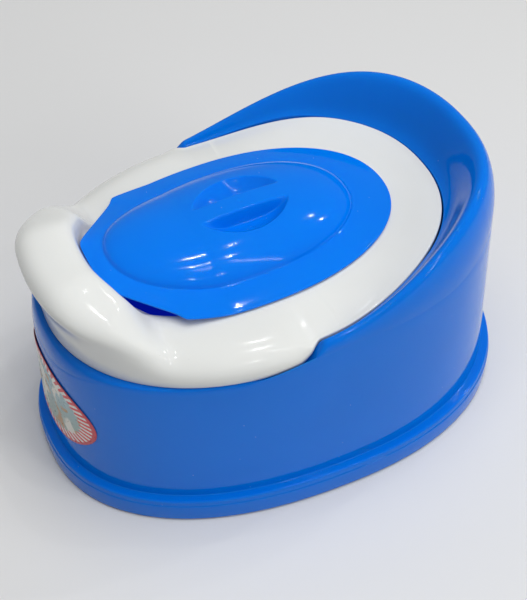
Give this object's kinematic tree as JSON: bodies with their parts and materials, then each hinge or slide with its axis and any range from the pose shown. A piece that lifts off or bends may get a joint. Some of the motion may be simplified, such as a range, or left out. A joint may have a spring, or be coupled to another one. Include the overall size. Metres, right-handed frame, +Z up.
{
  "type": "potty training chair",
  "caption": "Child's potty chair with a backrest body, lift-out bowl, seat ring with a splash guard, and a loose domed lid.",
  "frame": {"origin": "on the floor under the middle of the base", "axes": "+Z up, -Y towards the front with the splash guard, +Y towards the backrest, X across, left and right alike"},
  "size_m": [0.2646, 0.37, 0.2],
  "materials": {
    "body_blue": "glossy injection-moulded polypropylene",
    "bowl_blue": "glossy injection-moulded polypropylene",
    "seat_white": "glossy injection-moulded polypropylene",
    "lid_blue": "glossy injection-moulded polypropylene",
    "label_print": "printed glossy film",
    "foot_rubber": "matt black thermoplastic rubber"
  },
  "bodies": {
    "body": {"body_shell": "body_blue", "front_label": "label_print", "foot_strip_1": "foot_rubber", "foot_strip_2": "foot_rubber", "foot_strip_3": "foot_rubber", "foot_strip_4": "foot_rubber"},
    "bowl": {"inner_bowl": "bowl_blue"},
    "seat": {"seat_ring": "seat_white"},
    "lid": {"lid": "lid_blue"}
  },
  "joints": [
    {"name": "bowl_lift", "type": "slide", "parent": "body", "child": "bowl", "axis": [0, 0, 1], "range_m": [0, 0.2]},
    {"name": "seat_lift", "type": "slide", "parent": "bowl", "child": "seat", "axis": [0, 0, 1], "range_m": [0, 0.15]},
    {"name": "lid_lift", "type": "slide", "parent": "seat", "child": "lid", "axis": [0, 0, 1], "range_m": [0, 0.15]}
  ]
}
